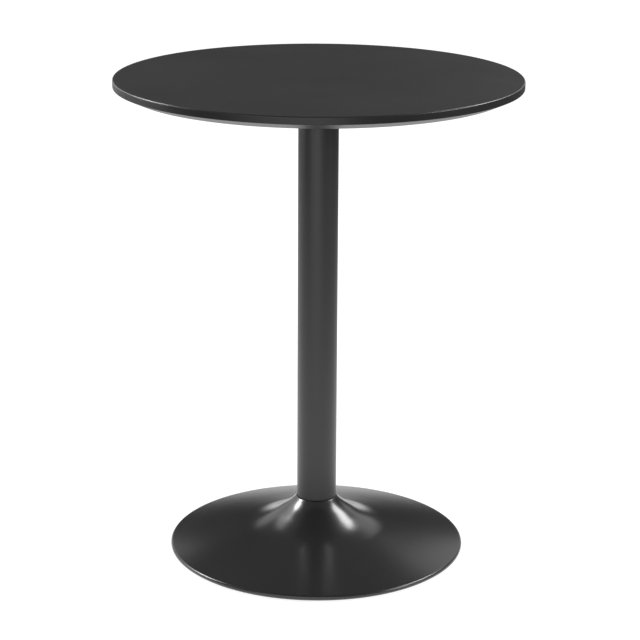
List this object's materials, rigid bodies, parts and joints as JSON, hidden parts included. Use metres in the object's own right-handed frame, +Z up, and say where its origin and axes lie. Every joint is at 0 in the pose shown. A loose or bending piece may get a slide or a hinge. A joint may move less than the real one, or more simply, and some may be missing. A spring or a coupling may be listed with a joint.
{
  "type": "dining table",
  "caption": "Round pedestal dining table: black lacquered disc top on a round steel column and a spun trumpet base, held together by a tie rod.",
  "frame": {"origin": "on the floor, under the middle of the column", "axes": "+Z up along the column; X and Y are alike, because the table is round"},
  "size_m": [0.5999, 0.6, 0.73],
  "materials": {
    "lacquered_mdf": "matt black lacquer on MDF",
    "column_black": "satin black powder coat",
    "base_black": "satin-gloss black powder coat",
    "plate_black": "black powder coat",
    "black_rubber": "matt moulded rubber",
    "zinc_steel": "bright zinc plate",
    "turned_steel": "turned, bare",
    "insert_brass": "turned",
    "ballast_iron": "as cast, dipped black"
  },
  "bodies": {
    "root": {"table_top": "lacquered_mdf", "threaded_inserts": "insert_brass", "mounting_plate": "plate_black", "plate_washers": "zinc_steel", "plate_screws": "zinc_steel", "column_tube": "column_black", "upper_plug": "turned_steel", "lower_plug": "turned_steel", "plate_boss": "turned_steel", "tie_rod": "zinc_steel", "neck_gasket": "black_rubber", "base_shell": "base_black", "floor_ring": "black_rubber", "base_plate": "plate_black", "base_hub": "turned_steel", "clamp_washer": "zinc_steel", "spring_washer": "zinc_steel", "clamp_nut": "zinc_steel", "ballast_ring": "ballast_iron", "ballast_screws": "zinc_steel"}
  },
  "joints": []
}
